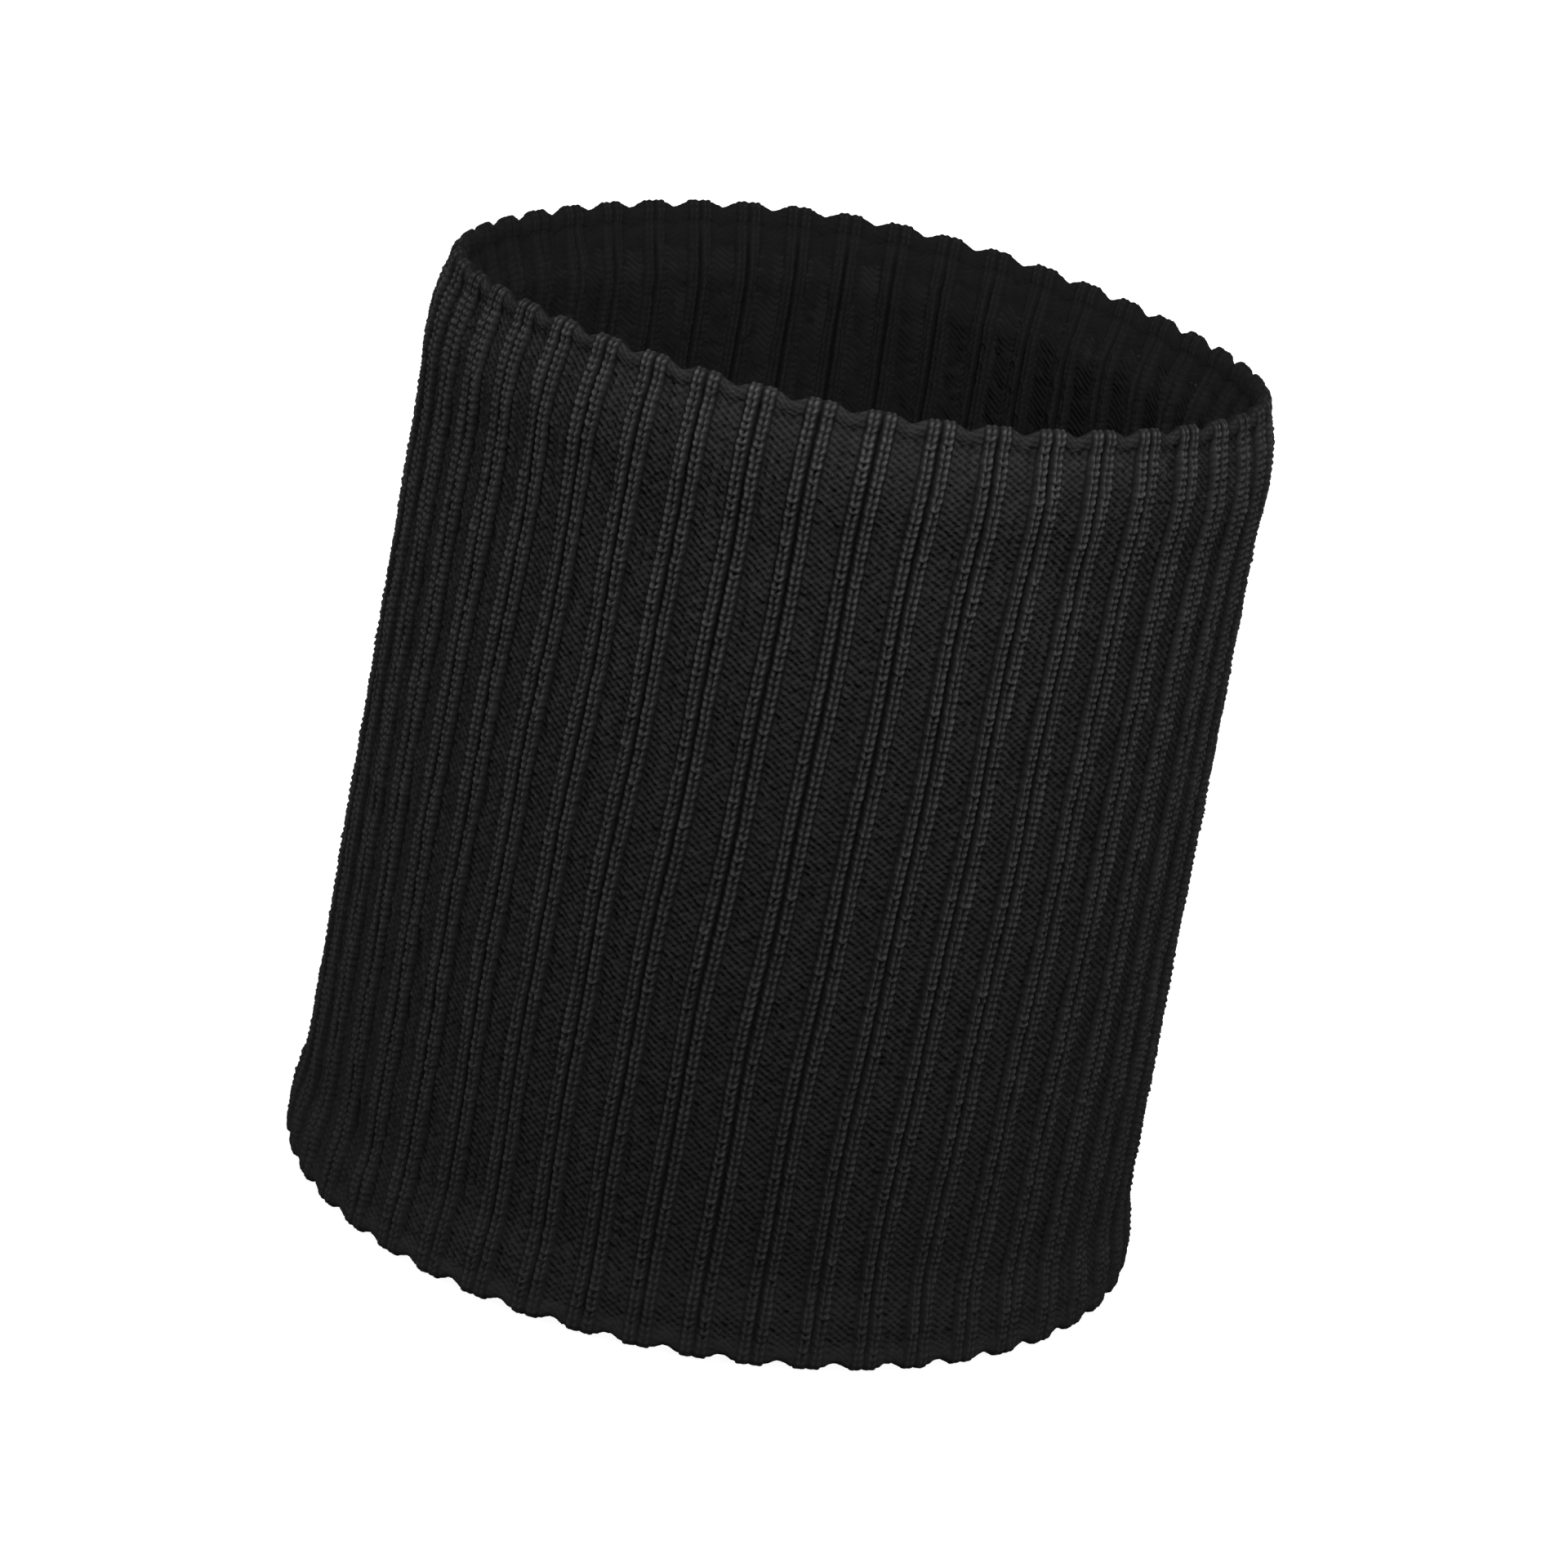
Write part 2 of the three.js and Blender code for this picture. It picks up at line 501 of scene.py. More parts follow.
    def reach(self, line: StitchLine, phase: float) -> float:
        """The painted light and shade at a point.

        Args:
            line: The upright line that the point is on.
            phase: How far up its course the point is, from 0 to 1.

        Returns:
            The reach of the point, from 0 for painted shade in a deep gap to past 1 for a painted highlight
            on the crest of a leg.
        """
        raised = (1 + self._swing(phase)) / 2
        start, change, share = {
            Zone.VALLEY: (self.valley_painted_light, 0.0, 0.0),
            Zone.EDGE: (self.edge_painted_light, 0.0, 0.0),
            Zone.FLANK: (*self.flank_painted_light, raised),
            Zone.LEG: (*self.leg_painted_light, raised),
            Zone.EYE: (*self.eye_painted_light, self._openness(phase)),
            Zone.GROOVE: (self.groove_painted_light, 0.0, 0.0),
            Zone.PANEL: (*self.panel_painted_light, self.purl(line, phase)),
        }[line.zone]
        return start + change * share


@dataclass(frozen=True)
class LiningKnit(RibKnit):
    """The same rib drawn with fewer lines, for the inside of the band."""

    rows: int = 2
    lines_per_purl: int = 2
    wale_lines: tuple[tuple[float, Zone], ...] = (
        (0.0, Zone.EDGE),
        (0.27, Zone.LEG),
        (0.50, Zone.EYE),
        (0.73, Zone.LEG),
        (1.0, Zone.GROOVE),
    )


@dataclass
class RibTile:
    """One rib repeat, one course high, lying flat: X runs round the band, Y up it and Z out of the fabric."""

    knit: RibKnit
    pitch: float
    course: float

    def model(self, name: str) -> bpy.types.Object:
        """Models the tile from a flat grid, whose points are moved line by line.

        Args:
            name: Name of the new object.

        Returns:
            The tile. Its line and row attributes say where each point belongs.
        """
        lines, rows = self.knit.lines(), self.knit.rows
        bpy.ops.object.select_all(action="DESELECT")
        bpy.ops.mesh.primitive_grid_add(
            x_subdivisions=len(lines) - 1, y_subdivisions=rows, size=1, location=(0.5, 0.5, 0)
        )
        tile = bpy.context.object
        tile.name = name
        bpy.ops.object.transform_apply(location=True)
        self._mark(tile.data, len(lines), rows)
        bpy.ops.object.mode_set(mode="EDIT")
        for i, line in enumerate(lines):
            flat = i / (len(lines) - 1)
            for row in range(rows + 1):
                phase = row % rows / rows
                sideways = line.across + self.knit.slant(line, phase) - flat
                self._pick(tile.data, row * len(lines) + i)
                bpy.ops.transform.translate(value=(sideways, 0, self.knit.height(line, phase)))
        bpy.ops.mesh.select_all(action="SELECT")
        bpy.ops.transform.resize(value=(self.pitch, self.course, 1), center_override=(0, 0, 0))
        bpy.ops.object.mode_set(mode="OBJECT")
        return tile

    @staticmethod
    def _mark(mesh: bpy.types.Mesh, line_count: int, rows: int) -> None:
        """Writes each point's line and row on the mesh, so that they outlive the repeats.

        Args:
            mesh: The tile's mesh.
            line_count: Number of lines across the tile.
            rows: Number of rows of faces up the tile.
        """
        point = np.arange(line_count * (rows + 1))
        for label, values in (("line", point % line_count), ("row", point // line_count)):
            mesh.attributes.new(label, "INT", "POINT").data.foreach_set("value", values.astype(np.int32))

    @staticmethod
    def _pick(mesh: bpy.types.Mesh, index: int) -> None:
        """Selects one point of a mesh in edit mode.

        Args:
            mesh: The mesh that is being edited.
            index: The point's number.
        """
        shape = bmesh.from_edit_mesh(mesh)
        shape.verts.ensure_lookup_table()
        for vertex in shape.verts:
            vertex.select = vertex.index == index
        shape.select_flush_mode()
        bmesh.update_edit_mesh(mesh)


@dataclass
class FlatFabric:
    """A flat piece of rib knit, made by repeating the tile across and up."""

    tile: RibTile
    ribs: int
    courses: int

    def knit_up(self, name: str) -> bpy.types.Object:
        """Repeats the tile into a flat piece of fabric.

        Args:
            name: Name of the new object.

        Returns:
            The flat fabric.
        """
        fabric = self.tile.model(name)
        repeats = (
            ("across", self.ribs, (self.tile.pitch, 0, 0)),
            ("up", self.courses, (0, self.tile.course, 0)),
        )
        for label, count, offset in repeats:
            array = fabric.modifiers.new(label, "ARRAY")
            array.count = count
            array.use_relative_offset = False
            array.use_constant_offset = True
            array.constant_offset_displace = offset
            array.use_merge_vertices = True
            array.merge_threshold = HAIR
            bpy.ops.object.modifier_apply(modifier=label)
        return fabric


@dataclass(frozen=True)
class Unevenness:
    """How much one stitch differs from the next.

    A mix says how much of the difference changes from course to course, and how much of it slowly. A bridge
    is a stray fibre across the hole of a stitch.
    """

    seed: int = 20
    limit: float = 2.0
    slow_reach: int = 5
    quick_reach: int = 2
    height_mix: tuple[float, float] = (0.75, 1.2)
    tone_mix: tuple[float, float] = (0.6, 1.0)
    strand_height: float = 0.035 * MM
    panel_height: float = 0.045 * MM
    point_height: float = 0.012 * MM
    sideways: float = 0.021 * MM
    upward: float = 0.018 * MM
    bridged: float = 0.14
    bridge_rise: float = 0.2 * MM
    bridge_fall: float = 0.4
    # A bridging fibre lightens the painted shade of its hole.
    bridge_painted_light: float = 0.35
    tone: float = 0.08
    grain: float = 0.14


@dataclass(frozen=True)
class StitchNoise:
    """Every stitch's own differences: a row for each strand of yarn, with a value for each step up it."""

    strands: int
    height: np.ndarray
    tone: np.ndarray
    shift: np.ndarray
    rise: np.ndarray
    bridges: np.ndarray
    scatter_start: int

    @classmethod
    def draw(cls, uneven: Unevenness, knit: RibKnit, ribs: int, courses: int) -> "StitchNoise":
        """Draws the differences of a whole layer.

        Args:
            uneven: How much one stitch differs from the next.
            knit: The relief of the layer.
            ribs: Number of ribs round the band.
            courses: Number of courses in the layer.

        Returns:
            The differences.
        """
        rng = np.random.default_rng(uneven.seed)
        strands = max(line.strand for line in knit.lines()) + 1
        by_course = (ribs * strands, courses + 1)
        by_step = (ribs * strands, courses * knit.rows + 1)
        quick = rng.normal(size=by_course).clip(-uneven.limit, uneven.limit)
        slow = cls._smoothed(rng.normal(size=by_course), uneven.slow_reach)
        course = np.minimum(np.arange(by_step[1]) // knit.rows, courses)
        height, tone = (
            (quick_part * quick + slow_part * slow)[:, course]
            for quick_part, slow_part in (uneven.height_mix, uneven.tone_mix)
        )
        shift, rise = (cls._smoothed(rng.normal(size=by_step), uneven.quick_reach) for _ in range(2))
        bridges = (rng.random(size=by_course) < uneven.bridged)[:, course]
        return cls(strands, height, tone, shift, rise, bridges, int(rng.integers(1 << 30)) % SCATTER_STARTS)

    @staticmethod
    def _smoothed(noise: np.ndarray, reach: int) -> np.ndarray:
        """Noise evened out along its second axis, at about its old strength.

        Args:
            noise: Rows of noise.
            reach: How many neighbours on each side are evened out.

        Returns:
            The smoother noise.
        """
        kernel = np.hanning(2 * reach + 1)
        kernel /= np.linalg.norm(kernel)
        return np.apply_along_axis(np.convolve, 1, noise, kernel, mode="same")


@dataclass(frozen=True)
class Sector:
    """The stretch of the band that one piece of fabric covers."""

    first_rib: int
    ribs: int
    courses: int


@dataclass(frozen=True)
class StitchedFace:
    """The stitched side of a sector: every point's line across it, row up it, place and reach, which is
    painted light and shade.
    """

    column: np.ndarray
    step: np.ndarray
    points: np.ndarray
    reach: np.ndarray


@dataclass
class KnitLayer:
    """One layer of the band, knitted flat and laid round it in sectors that meet in the valleys of ribs.

    Over the fold of a rim the fabric gets thinner, its relief softer, and its panels are drawn in to a
    scalloped edge. Each point's reach is painted light and shade. Evenness says how far its contrast between
    stitches fades, and shade how much painted shade darkens the layer. The stretch past the crown of the rim
    has an evenness and a painted shade of its own.
    """

    name: str
    layer: Layer
    slot: str
    shape: BandShape
    path: FoldPath
    knit: RibKnit
    sectors: tuple[int, ...]
    material: bpy.types.Material
    wander: RibWander = RibWander()
    sag: RimSag = RimSag()
    uneven: Unevenness = Unevenness()
    thickness: float = 0.85 * MM
    fold_thickness: float = 0.35 * MM
    fold_reach: tuple[float, float] = (5.0 * MM, 1.9 * MM)
    fold_blend: float = 2.0 * MM
    fold_softness: float = 0.75
    scallop: float = 0.41 * MM
    scallop_sharpness: int = 6
    # Painted shade: shade darkens the whole layer and fold_shade the stretch past the crown. The evenness
    # values fade the painted stitch shading, more so low down the wall.
    shade: float = 1.0
    fold_shade: float = 1.0
    evenness: float = 0.0
    low_evenness: float = 0.8
    fold_evenness: float = 0.65
    even_painted_light: float = 0.4
    crown_before_end: float = 1.75 * MM
    crown_blend: float = 0.5 * MM
    back_rows: int = 8
    back_lines: int = 2
    back_painted_light: float = 0.3
    most_painted_light: float = 2.0
    face_uv_start: float = 0.05
    back_uv_end: float = 0.04
    noise: StitchNoise = field(init=False)
    pieces: list[bpy.types.Object] = field(default_factory=list)

    def build(self) -> None:
        """Knits each width of fabric once, and lays a copy of it along every sector that has that width."""
        courses = round(self.path.length / self.knit.course)
        mean_radius = float(self.shape.straight_radius(self.shape.height / 2))
        tile = RibTile(self.knit, FULL_TURN * mean_radius / self.shape.ribs, self.path.length / courses)
        self.noise = StitchNoise.draw(self.uneven, self.knit, self.shape.ribs, courses)
        flats = {n: FlatFabric(tile, n, courses).knit_up(f"flat_{self.name}_{n}") for n in set(self.sectors)}
        first_rib = 0
        for number, ribs in enumerate(self.sectors, 1):
            piece = flats[ribs].copy()
            piece.data = flats[ribs].data.copy()
            piece.name = piece.data.name = f"{self.name}_{number}"
            bpy.context.collection.objects.link(piece)
            self._lay(piece.data, tile, Sector(first_rib, ribs, courses))
            piece.data.materials.append(self.material)
            self.pieces.append(piece)
            first_rib += ribs
        for flat in flats.values():
            mesh = flat.data
            bpy.data.objects.remove(flat)
            bpy.data.meshes.remove(mesh)

    @staticmethod
    def _in_zones(lines: list[StitchLine], line: np.ndarray, *zones: Zone) -> np.ndarray:
        """Whether each point's line runs along one of the zones."""
        return np.array([each.zone in zones for each in lines])[line]

    def _lay(self, mesh: bpy.types.Mesh, tile: RibTile, sector: Sector) -> None:
        """Lays a flat fabric along the band's wall and closes it with a back.

        Args:
            mesh: The flat fabric's mesh, which is rewritten.
            tile: The tile that the fabric was made from.
            sector: The stretch of the band that the fabric covers.
        """
        lines, rows = self.knit.lines(), self.knit.rows
        uneven, noise = self.uneven, self.noise
        flat = points_of(mesh)
        line, row = whole_numbers_of(mesh, "line"), whole_numbers_of(mesh, "row")
        across = np.array([each.across for each in lines])[line]
        rib = np.rint(flat[:, 0] / tile.pitch - across).astype(int)
        course = np.rint(flat[:, 1] / tile.course - row / rows).astype(int)
        for part, whole, end in ((line, rib, len(lines) - 1), (row, course, rows)):
            at_end = part == end
            whole[at_end] += 1
            part[at_end] = 0

        last_step = sector.courses * rows
        step = np.minimum(course * rows + row, last_step)
        strand = np.array([each.strand for each in lines])[line]
        band_rib = (rib + sector.first_rib) % self.shape.ribs
        key = band_rib * noise.strands + strand
        own = scattered(band_rib * (len(lines) - 1) + line, step, noise.scatter_start)
        bridged = self._in_zones(lines, line, Zone.EYE) & noise.bridges[key, step] & (row <= 1)

        is_still = self._in_zones(lines, line, Zone.VALLEY, Zone.GROOVE, Zone.EDGE)
        most = np.where(self._in_zones(lines, line, Zone.PANEL), uneven.panel_height, uneven.strand_height)
        height = flat[:, 2] + most * noise.height[key, step] * ~is_still + uneven.point_height * own
        height += np.where(bridged, uneven.bridge_rise * (1 - uneven.bridge_fall * row), 0)
        place = sector.first_rib + (flat[:, 0] + uneven.sideways * noise.shift[key, step]) / tile.pitch
        rise = uneven.upward * noise.rise[key, step] * (step > 0) * (step < last_step)
        along = np.clip(flat[:, 1] + rise, 0, self.path.length)
        height *= 1 - self.fold_softness * self._fold_share(along)

        # Painted light and shade: each point's reach darkens gaps and holes and brightens leg crests, and is
        # then evened out and darkened.
        painted_light_table = np.array([[self.knit.reach(each, r / rows) for r in range(rows)] for each in lines])
        reach = painted_light_table[line, row]
        reach += np.where(bridged, uneven.bridge_painted_light, 0)
        reach *= 1 + uneven.tone * noise.tone[key, step] + uneven.grain * own
        reach = self._shaded(reach, along)
        column = line + rib * (len(lines) - 1)
        self._close(mesh, StitchedFace(column, step, self._wrapped(place, along, height), reach), sector)

    def _shaded(self, reach: np.ndarray, along: np.ndarray) -> np.ndarray:
        """Evens out the painted light and shade low down and past the crown of the rim, and darkens it with
        painted shade.

        Args:
            reach: The painted light and shade of each point.
            along: Distance of each point along the fold path.

        Returns:
            The painted light and shade after evening out and darkening.
        """
        past_crown = eased((along - self.path.length + self.crown_before_end) / self.crown_blend + 0.5)
        evened = np.maximum(self.evenness, self.low_evenness * (1 - along / self.path.length) ** 2)
        evened += (self.fold_evenness - evened) * past_crown
        reach = reach + (self.even_painted_light - reach) * evened
        return reach * (self.shade + (self.fold_shade - self.shade) * past_crown)

    def _fold_share(self, along: np.ndarray) -> np.ndarray:
        """How much of the way from the wall into a rim's fold a place is.

        Args:
            along: Distance of each point along the fold path.

        Returns:
            The share for each point, from 0 on the wall to 1 in the fold.
        """
        first, last = self.fold_reach
        into_fold = np.maximum(first - along, along - self.path.length + last)
        return eased(1 + into_fold / self.fold_blend)

    def _wrapped(self, place: np.ndarray, along: np.ndarray, height: np.ndarray) -> np.ndarray:
        """Points on the band from their place in the fabric.

        Args:
            place: Place round the band, in ribs.
            along: Distance along the fold path.
            height: Height above the crest line.

        Returns:
            An array of XYZ rows.
        """
        radius, z = self.path.at(along, height)
        angle = self.wander.angle(place, z, self.shape)
        notch = np.sin(math.pi * place) ** self.scallop_sharpness
        drawn_in = self.scallop * notch * self._fold_share(along)
        z = z + self.sag.lift(angle, z, self.shape) + drawn_in * np.where(z < self.shape.height / 2, 1, -1)
        return np.stack([radius * np.sin(angle), -radius * np.cos(angle), np.maximum(z, 0)], 1)

    def _close(self, mesh: bpy.types.Mesh, face: StitchedFace, sector: Sector) -> None:
        """Gives the fabric its thickness: a plain back, joined to the edges of the stitched face.

        Args:
            mesh: The mesh that is rewritten with the face and its back.
            face: The stitched face.
            sector: The stretch of the band that the fabric covers.
        """
        columns = sector.ribs * (len(self.knit.lines()) - 1)
        steps = sector.courses * self.knit.rows
        grid = np.zeros((columns + 1, steps + 1), int)
        grid[face.column, face.step] = np.arange(len(face.points))
        quads = np.stack([grid[:-1, :-1], grid[1:, :-1], grid[1:, 1:], grid[:-1, 1:]], -1).reshape(-1, 4)

        line_gap = columns // sector.ribs // self.back_lines
        cols = np.unique(np.append(np.arange(0, columns, line_gap), columns))
        rows = np.unique(np.append(np.arange(0, steps, self.back_rows), steps))
        at_cols, at_rows = np.meshgrid(cols, rows, indexing="ij")
        place = sector.first_rib + at_cols.ravel() / columns * sector.ribs
        along = at_rows.ravel() / steps * self.path.length
        fold = self._fold_share(along)
        back_depth = self.thickness + (self.fold_thickness - self.thickness) * fold
        back_points = self._wrapped(place, along, -back_depth)
        back = len(face.points) + np.arange(at_cols.size).reshape(at_cols.shape)
        faces = quads.tolist()
        flipped = np.stack([back[:-1, :-1], back[:-1, 1:], back[1:, 1:], back[1:, :-1]], -1)
        faces += flipped.reshape(-1, 4).tolist()
        for i, (a, b) in enumerate(zip(rows[:-1], rows[1:])):
            faces.append([*grid[0, a : b + 1], back[0, i + 1], back[0, i]])
            faces.append([*grid[columns, a : b + 1][::-1], back[-1, i], back[-1, i + 1]])
        for i, (a, b) in enumerate(zip(cols[:-1], cols[1:])):
            faces.append([*grid[a : b + 1, 0][::-1], back[i, 0], back[i + 1, 0]])
            faces.append([*grid[a : b + 1, steps], back[i + 1, -1], back[i, -1]])

        mesh.clear_geometry()
        mesh.from_pydata(np.vstack([face.points, back_points]).tolist(), [], faces)
        flat_u = np.concatenate([face.column / columns, at_cols.ravel() / columns])
        face_v = self.face_uv_start + (1 - self.face_uv_start) * face.step / steps
        flat_v = np.concatenate([face_v, self.back_uv_end * at_rows.ravel() / steps])
        corner = np.empty(len(mesh.loops), np.int32)
        mesh.loops.foreach_get("vertex_index", corner)
        uv = mesh.uv_layers.new(name="OFBake")
        uv.uv.foreach_set("vector", np.stack([flat_u[corner], flat_v[corner]], 1).astype(np.float32).ravel())
        # The plain back gets an even painted shade.
        reach = np.concatenate([face.reach, np.full(len(back_points), self.back_painted_light)])
        write_painted_light(mesh, reach.clip(0, self.most_painted_light))
        smooth = np.zeros(len(mesh.polygons), bool)
        smooth[: len(quads)] = True
        mesh.polygons.foreach_set("use_smooth", smooth)
        self._sharpen(mesh, grid, sector.ribs)
        mesh.validate()
        mesh.update()

    @staticmethod
    def _sharpen(mesh: bpy.types.Mesh, grid: np.ndarray, ribs: int) -> None:
        """Marks the edges along every rib's valley, and at both ends of the fabric, as sharp creases.

        Args:
            mesh: The closed fabric.
            grid: The numbers of the face's points, by column and row.
            ribs: Number of ribs in the fabric.
        """
        crease = np.zeros(len(mesh.vertices), bool)
        crease[grid[:: (grid.shape[0] - 1) // ribs]] = True
        crease[grid[:, 0]] = crease[grid[:, -1]] = True
        ends = np.empty(len(mesh.edges) * 2, np.int32)
        mesh.edges.foreach_get("vertices", ends)
        mesh.edges.foreach_set("use_edge_sharp", crease[ends.reshape(-1, 2)].all(1))

    def fit(self) -> None:
        """Hangs each sector on the band's root, hides the CAD layer that it replaces and logs its size."""
        for piece in self.pieces:
            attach(piece, "root")
            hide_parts(self.layer.value)
            log.info("%s: %d faces", piece.name, len(piece.data.polygons))


# ---- The closing seam ----


@dataclass
class ClosingSeam:
    """The chain-stitched ring that links the two ends of the tube, on the inside of the band."""

    shape: BandShape
    material: bpy.types.Material
    node: str = "closing_seam"
    stitches: int = 168
    yarn: float = 0.13 * MM
    loop_length: float = 1.5 * MM
    loop_width: float = 0.62 * MM
    loop_steps: int = 12
    yarn_sides: int = 5
    pinch: float = 0.6
    tilt: float = math.radians(12)
    stand_off: float = 0.2 * MM
    piece: bpy.types.Object | None = None

    def _loop(self) -> bpy.types.Object:
        """Models one loop of yarn: a ring drawn out long, and pinched where the next loop comes through.

        Returns:
            The loop, lying flat along X.
        """
        bpy.ops.object.select_all(action="DESELECT")
        bpy.ops.mesh.primitive_torus_add(
            major_segments=self.loop_steps,
            minor_segments=self.yarn_sides,
            major_radius=self.loop_width / 2 - self.yarn,
            minor_radius=self.yarn,
        )
        loop = bpy.context.object
        loop.name = "seam_loop"
        bpy.ops.object.mode_set(mode="EDIT")
        stretch = (self.loop_length - self.loop_width) / 2
        for direction in (-1, 1):
            self._pick_end(loop.data, direction)
            bpy.ops.transform.translate(value=(direction * stretch, 0, 0))
        self._pick_end(loop.data, 1)
        bpy.ops.transform.resize(value=(1, self.pinch, 1), center_override=(0, 0, 0))
        bpy.ops.mesh.select_all(action="SELECT")
        bpy.ops.transform.rotate(value=self.tilt, orient_axis="Y", center_override=(0, 0, 0))
        bpy.ops.object.mode_set(mode="OBJECT")
        return loop

    @staticmethod
    def _pick_end(mesh: bpy.types.Mesh, direction: int) -> None:
        """Selects the points at one end of the loop in edit mode.

        Args:
            mesh: The loop's mesh.
            direction: 1 for the end towards +X, -1 for the other.
        """
        shape = bmesh.from_edit_mesh(mesh)
        for vertex in shape.verts:
            vertex.select = vertex.co.x * direction > HAIR
        shape.select_flush_mode()
        bmesh.update_edit_mesh(mesh)

    def build(self) -> None:
        """Links copies of the loop into a ring on the band's inner face."""
        loop = self._loop()
        low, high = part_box(self.node)
        z = (low.z + high.z) / 2
        radius = float(self.shape.straight_radius(z)) - self.shape.wall - self.stand_off
        spacing = FULL_TURN * radius / self.stitches
        array = loop.modifiers.new("chain", "ARRAY")
        array.count = self.stitches
        array.use_relative_offset = False
        array.use_constant_offset = True
        array.constant_offset_displace = (spacing, 0, 0)
        bpy.ops.object.modifier_apply(modifier="chain")
        mesh = loop.data
        x, y, height = points_of(mesh).T
        angle = x / radius
        out = radius - height
        laid = np.stack([out * np.sin(angle), -out * np.cos(angle), z + y], 1)
        mesh.vertices.foreach_set("co", laid.astype(np.float32).ravel())
        mesh.update()
        bpy.ops.object.mode_set(mode="EDIT")
        bpy.ops.mesh.select_all(action="SELECT")
        bpy.ops.mesh.normals_make_consistent(inside=False)
        bpy.ops.object.mode_set(mode="OBJECT")
        bpy.ops.object.shade_smooth()
        write_painted_light(mesh, np.ones(len(mesh.vertices)))
        mesh.materials.append(self.material)
        loop.name = mesh.name = "closing_seam_chain"
        self.piece = loop

    def fit(self) -> None:
        """Hangs the seam on the band's root, hides the CAD seam that it replaces and logs its size."""
        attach(self.piece, "root")
        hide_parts(self.node)
        log.info("%s: %d faces", self.piece.name, len(self.piece.data.polygons))


@dataclass(frozen=True)
class ElasticThreads:
    """The elastic threads between the layers, which keep the shape that they came with."""

    material: bpy.types.Material

    def dress(self) -> None:
        """Gives every thread its covered-yarn finish."""
        for name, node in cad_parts.items():
            if name.startswith(ELASTIC_THREAD):
                node.data.materials.clear()
                node.data.materials.append(self.material)
                log.info("%s: kept, covered yarn", name)


# ---- Finishes ----


@dataclass(frozen=True)
class YarnFinish:
    """A dull, neutral spun yarn: its tone, the painted-shade tone that it is darkened to in gaps, and the
    relief of its fibres.
    """

    name: str
    tone: float
    painted_shade_tone: float
    roughness: float = 0.9
    specular: float = 0.0
    mottle: float = 0.25
    mottle_scale: float = 900.0
    fibre_scale: float = 9000.0
    fibre_depth: float = 0.02 * MM
    fibre_strength: float = 0.6
    reads_painted_light: bool = True

    def material(self, yarn_tone: bpy.types.NodeTree, fibres: bpy.types.NodeTree) -> bpy.types.Material:
        """Builds the yarn's material.

        Args:
            yarn_tone: The group that colours the yarn.
            fibres: The group that gives the yarn's fibre relief.

        Returns:
            The material.
        """
        material = bpy.data.materials.new(self.name)
        material.use_nodes = True
        tree = material.node_tree
        shader = tree.nodes["Principled BSDF"]
        shader.inputs["Roughness"].default_value = self.roughness
        shader.inputs["Specular IOR Level"].default_value = self.specular
        place = tree.nodes.new("ShaderNodeTexCoord")
        tone = tree.nodes.new("ShaderNodeGroup")
        tone.node_tree = yarn_tone
        tone.inputs["Yarn"].default_value = grey(self.tone)
        tone.inputs["Painted Shade"].default_value = grey(self.painted_shade_tone)
        tone.inputs["Painted Light"].default_value = 1.0
        tone.inputs["Mottle"].default_value = self.mottle
        tone.inputs["Scale"].default_value = self.mottle_scale
        relief = tree.nodes.new("ShaderNodeGroup")
        relief.node_tree = fibres
        relief.inputs["Scale"].default_value = self.fibre_scale
        bump = tree.nodes.new("ShaderNodeBump")
        bump.inputs["Strength"].default_value = self.fibre_strength
        bump.inputs["Distance"].default_value = self.fibre_depth
        link = tree.links.new
        if self.reads_painted_light:
            # The reach attribute holds the painted light and shade.
            reach = tree.nodes.new("ShaderNodeAttribute")
            reach.attribute_name = "reach"
            link(reach.outputs["Fac"], tone.inputs["Painted Light"])
        link(place.outputs["Object"], tone.inputs["Place"])
        link(place.outputs["Object"], relief.inputs["Place"])
        link(tone.outputs["Colour"], shader.inputs["Base Color"])
        link(relief.outputs["Height"], bump.inputs["Height"])
        link(bump.outputs["Normal"], shader.inputs["Normal"])
        return material


